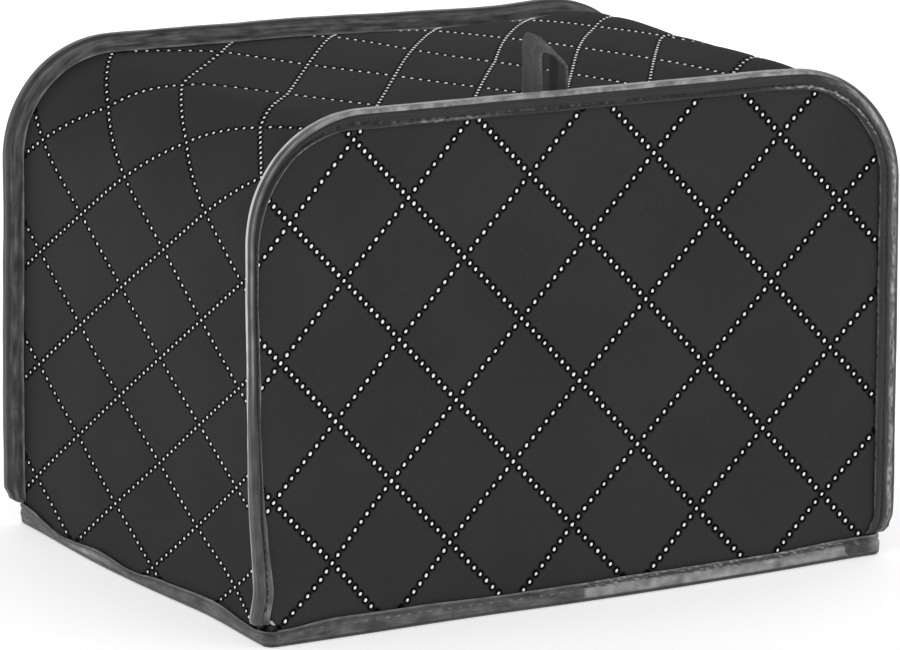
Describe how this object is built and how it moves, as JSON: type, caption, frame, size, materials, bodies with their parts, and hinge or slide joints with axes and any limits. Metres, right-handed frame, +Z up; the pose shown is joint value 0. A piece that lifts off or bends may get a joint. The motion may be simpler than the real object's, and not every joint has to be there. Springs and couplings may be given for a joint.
{
  "type": "bread maker cover",
  "caption": "Box-shaped quilted cloth cover for a kitchen appliance, open underneath, with bound flanged edges, a taped hem and a tape loop on top.",
  "frame": {"origin": "middle of the bounding box's footprint, on the plane that the hem rests on", "axes": "+X to the right seen from the front, -Y out of the front panel with the loop behind its flange, +Z up"},
  "size_m": [0.311, 0.2371, 0.2309],
  "materials": {
    "quilted_cloth": "matt quilted cloth",
    "satin_tape": "satin bias tape",
    "woven_tape": "matt woven tape"
  },
  "bodies": {
    "root": {"front_panel": "quilted_cloth", "back_panel": "quilted_cloth", "gusset": "quilted_cloth", "front_binding": "satin_tape", "back_binding": "satin_tape", "hem_binding": "satin_tape", "top_loop": "woven_tape"}
  },
  "joints": []
}
